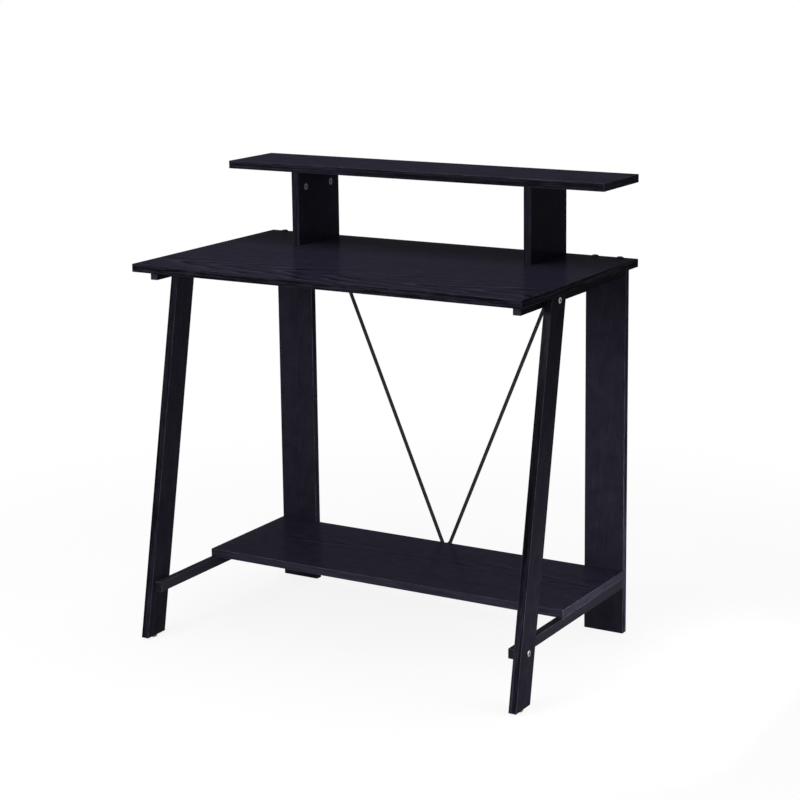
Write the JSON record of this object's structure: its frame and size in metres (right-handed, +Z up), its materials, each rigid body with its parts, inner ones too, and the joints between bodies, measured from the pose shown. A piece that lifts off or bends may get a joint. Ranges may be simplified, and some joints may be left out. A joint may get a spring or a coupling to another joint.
{
  "type": "writing desk",
  "caption": "Black wood-grain writing desk with a raised monitor shelf, leaning front board legs, upright rear board legs, a low shelf and a V of thin brace rods.",
  "frame": {"origin": "on the floor, under the middle of the desk's outer box", "axes": "+X to the sitter's right along the desktop, +Y from the front edge to the back edge, +Z up"},
  "size_m": [0.8, 0.4768, 0.87],
  "materials": {
    "black_laminate": "satin wood-grain laminate",
    "black_wood": "satin paint on planed wood",
    "black_steel": "satin powder coat",
    "bright_steel": "nickel plated",
    "zinc": "zinc plated",
    "beech": "plain fluted beech",
    "black_plastic": "satin moulded",
    "brown_plastic": "satin moulded"
  },
  "bodies": {
    "root": {"desktop": "black_laminate", "monitor_shelf": "black_laminate", "riser_upright_left": "black_laminate", "riser_upright_right": "black_laminate", "lower_shelf": "black_laminate", "rear_leg_left": "black_laminate", "rear_leg_right": "black_laminate", "front_leg_left": "black_laminate", "front_leg_right": "black_laminate", "upper_rail_left": "black_wood", "upper_rail_right": "black_wood", "lower_rail_left": "black_wood", "lower_rail_right": "black_wood", "brace_rod_left": "black_steel", "brace_rod_right": "black_steel", "brace_screws": "black_steel", "cam_locks": "zinc", "cam_bolts": "zinc", "riser_dowels": "beech", "riser_screws": "zinc", "rear_leg_screws": "zinc", "screw_caps": "black_plastic", "upper_rail_screws": "zinc", "lower_rail_screws": "zinc", "rail_end_screws": "zinc", "shelf_back_screws": "zinc", "leg_bolts": "bright_steel", "rail_inserts": "zinc", "front_glides": "brown_plastic"}
  },
  "joints": []
}
